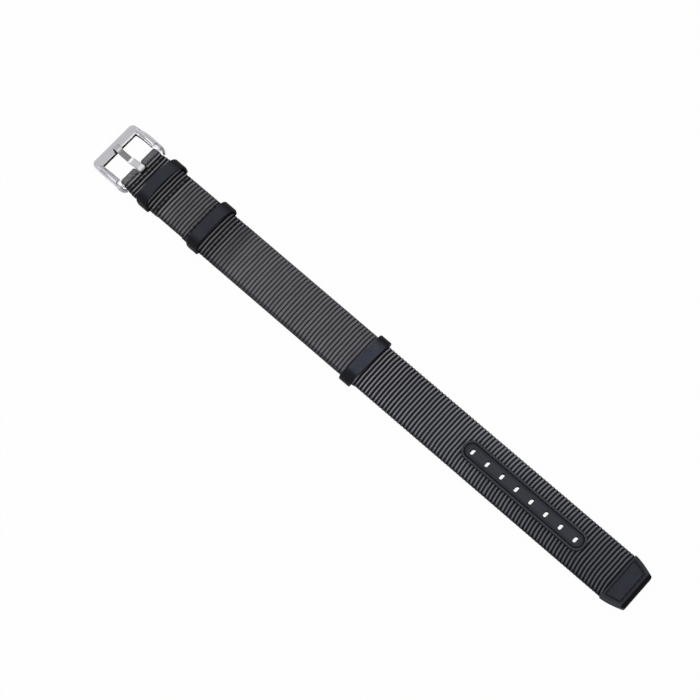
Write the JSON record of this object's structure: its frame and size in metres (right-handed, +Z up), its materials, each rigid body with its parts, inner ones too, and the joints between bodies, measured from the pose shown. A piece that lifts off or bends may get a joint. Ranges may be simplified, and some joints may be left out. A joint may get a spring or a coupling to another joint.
{
  "type": "watch strap",
  "caption": "Ribbed nylon watch strap with pin buckle, two open leather keepers, a closed keeper on a flap, and a stitched leather hole strip and tip.",
  "frame": {"origin": "bottom centre of the strap's box as it lies flat, outer face up", "axes": "+X along the strap from buckle to tip, +Y across it, +Z up out of the outer face"},
  "size_m": [0.2608, 0.0236, 0.0068],
  "materials": {
    "webbing": "cross-ribbed woven nylon",
    "leather": "smooth black leather, satin",
    "thread": "black sewing thread",
    "steel": "fine satin brushing, polished edges"
  },
  "bodies": {
    "middle": {"webbing_middle": "webbing", "flap": "webbing", "keeper_3": "leather", "seam_flap": "thread", "seam_keeper_2": "thread"},
    "neck": {"webbing_neck": "webbing"},
    "head": {"webbing_head": "webbing", "bar_barrel": "steel", "bar_spring": "steel", "seam_bar": "thread", "seam_keeper_1": "thread"},
    "buckle": {"buckle_frame": "steel"},
    "tongue": {"tongue": "steel"},
    "pin_left": {"pin_left": "steel"},
    "pin_right": {"pin_right": "steel"},
    "keeper_1": {"keeper_1": "leather"},
    "keeper_2": {"keeper_2": "leather"},
    "tail_1": {"webbing_tail_1": "webbing"},
    "tail_2": {"webbing_tail_2": "webbing"},
    "tail_3": {"webbing_tail_3": "webbing"},
    "hole_end": {"webbing_holes": "webbing", "hole_strip": "leather", "hole_strip_lining": "leather", "strip_stitching": "thread"},
    "tip": {"webbing_tip": "webbing", "tip_leather": "leather", "tip_lining": "leather", "tip_stitching": "thread"}
  },
  "joints": [
    {"name": "neck_bend", "type": "hinge", "parent": "middle", "child": "neck", "pos_m": [-0.0882, 0, 0.0018], "axis": [0, -1, 0], "range_deg": [-20, 20]},
    {"name": "head_bend", "type": "hinge", "parent": "neck", "child": "head", "pos_m": [-0.0946, 0, 0.0018], "axis": [0, -1, 0], "range_deg": [-20, 20]},
    {"name": "tail_bend_1", "type": "hinge", "parent": "middle", "child": "tail_1", "pos_m": [0.011, 0, 0.0018], "axis": [0, 1, 0], "range_deg": [-20, 25]},
    {"name": "tail_bend_2", "type": "hinge", "parent": "tail_1", "child": "tail_2", "pos_m": [0.021, 0, 0.0018], "axis": [0, 1, 0], "range_deg": [-20, 25]},
    {"name": "tail_bend_3", "type": "hinge", "parent": "tail_2", "child": "tail_3", "pos_m": [0.031, 0, 0.0018], "axis": [0, 1, 0], "range_deg": [-20, 25]},
    {"name": "tail_bend_4", "type": "hinge", "parent": "tail_3", "child": "hole_end", "pos_m": [0.041, 0, 0.0018], "axis": [0, 1, 0], "range_deg": [-20, 25]},
    {"name": "tip_bend", "type": "hinge", "parent": "hole_end", "child": "tip", "pos_m": [0.1128, 0, 0.0018], "axis": [0, 1, 0], "range_deg": [-30, 30]},
    {"name": "buckle_swing", "type": "hinge", "parent": "head", "child": "buckle", "pos_m": [-0.1152, 0, 0.00205], "axis": [0, 1, 0], "range_deg": [-60, 30]},
    {"name": "tongue_lift", "type": "hinge", "parent": "buckle", "child": "tongue", "pos_m": [-0.1152, 0, 0.00205], "axis": [0, 1, 0], "range_deg": [0, 60]},
    {"name": "pin_left_press", "type": "slide", "parent": "head", "child": "pin_left", "axis": [0, 1, 0], "range_m": [0, 0.0011], "stiffness_N_per_m": 200, "springref_m": -0.002},
    {"name": "pin_right_press", "type": "slide", "parent": "head", "child": "pin_right", "axis": [0, -1, 0], "range_m": [0, 0.0011], "stiffness_N_per_m": 200, "springref_m": -0.002},
    {"name": "keeper_1_slide", "type": "slide", "parent": "head", "child": "keeper_1", "axis": [1, 0, 0], "range_m": [-0.0048, 0.001]},
    {"name": "keeper_2_slide", "type": "slide", "parent": "middle", "child": "keeper_2", "axis": [1, 0, 0], "range_m": [-0.002, 0.0016]}
  ],
  "couplings": [
    {"joint": "head_bend", "follows": "neck_bend", "ratio": 1},
    {"joint": "tail_bend_2", "follows": "tail_bend_1", "ratio": 1},
    {"joint": "tail_bend_3", "follows": "tail_bend_1", "ratio": 1},
    {"joint": "tail_bend_4", "follows": "tail_bend_1", "ratio": 1}
  ]
}
